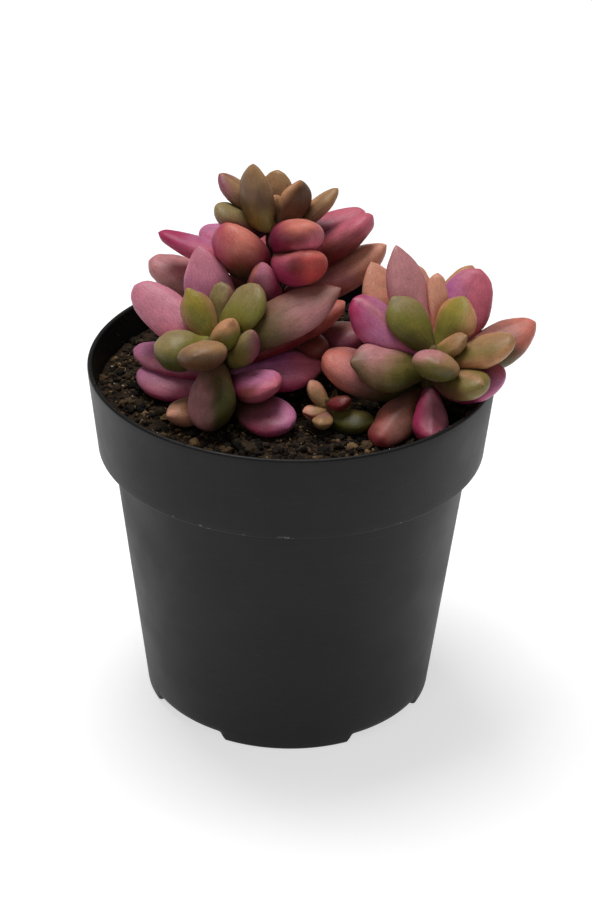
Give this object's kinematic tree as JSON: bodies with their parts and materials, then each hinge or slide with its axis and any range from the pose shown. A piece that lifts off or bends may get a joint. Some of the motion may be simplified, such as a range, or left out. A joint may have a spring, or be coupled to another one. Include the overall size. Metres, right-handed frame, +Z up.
{
  "type": "potted succulent",
  "caption": "Rosette-forming succulent with thick pointed leaves on short leafy shoots, rooted in soil in a round feet-raised nursery pot.",
  "frame": {"origin": "on the ground under the middle of the whole object's outline; the pot's axis stands 4.1 mm to its left, at x = -0.0041 m, y = 0", "axes": "+Z up along the pot's axis, front of the plant towards -Y, +X to the right as seen from the front"},
  "size_m": [0.1131, 0.1048, 0.1445],
  "materials": {
    "pot": "satin",
    "soil": "matte",
    "stem": "matte",
    "olive_leaf": "satin",
    "tan_leaf": "satin",
    "coral_leaf": "satin",
    "pink_leaf": "satin",
    "magenta_leaf": "satin",
    "violet_leaf": "satin"
  },
  "bodies": {
    "root": {"pot": "pot", "soil": "soil", "rear_stem": "stem", "left_stem": "stem", "right_stem": "stem", "offset_shoot": "tan_leaf", "rear_leaf_01": "olive_leaf", "rear_leaf_02": "olive_leaf", "rear_leaf_03": "olive_leaf", "rear_leaf_04": "olive_leaf", "rear_leaf_05": "olive_leaf", "rear_leaf_06": "pink_leaf", "rear_leaf_07": "magenta_leaf", "rear_leaf_08": "coral_leaf", "rear_leaf_09": "coral_leaf", "rear_leaf_10": "coral_leaf", "rear_leaf_11": "pink_leaf", "rear_leaf_12": "magenta_leaf", "rear_leaf_13": "coral_leaf", "rear_leaf_14": "coral_leaf", "rear_leaf_15": "pink_leaf", "rear_leaf_16": "coral_leaf", "rear_leaf_17": "coral_leaf", "rear_leaf_18": "pink_leaf", "rear_leaf_19": "coral_leaf", "left_leaf_01": "violet_leaf", "left_leaf_02": "pink_leaf", "left_leaf_03": "olive_leaf", "left_leaf_04": "olive_leaf", "left_leaf_05": "olive_leaf", "left_leaf_06": "olive_leaf", "left_leaf_07": "tan_leaf", "left_leaf_08": "olive_leaf", "left_leaf_09": "olive_leaf", "left_leaf_10": "pink_leaf", "left_leaf_11": "violet_leaf", "left_leaf_12": "violet_leaf", "left_leaf_13": "pink_leaf", "left_leaf_14": "olive_leaf", "left_leaf_15": "tan_leaf", "left_leaf_16": "violet_leaf", "left_leaf_17": "violet_leaf", "right_leaf_01": "olive_leaf", "right_leaf_02": "olive_leaf", "right_leaf_03": "tan_leaf", "right_leaf_04": "olive_leaf", "right_leaf_05": "pink_leaf", "right_leaf_06": "olive_leaf", "right_leaf_07": "olive_leaf", "right_leaf_08": "magenta_leaf", "right_leaf_09": "magenta_leaf", "right_leaf_10": "coral_leaf", "right_leaf_11": "coral_leaf", "right_leaf_12": "magenta_leaf", "right_leaf_13": "coral_leaf", "right_leaf_14": "pink_leaf", "right_leaf_15": "coral_leaf", "right_leaf_16": "coral_leaf", "right_leaf_17": "violet_leaf", "right_leaf_18": "coral_leaf"}
  },
  "joints": []
}
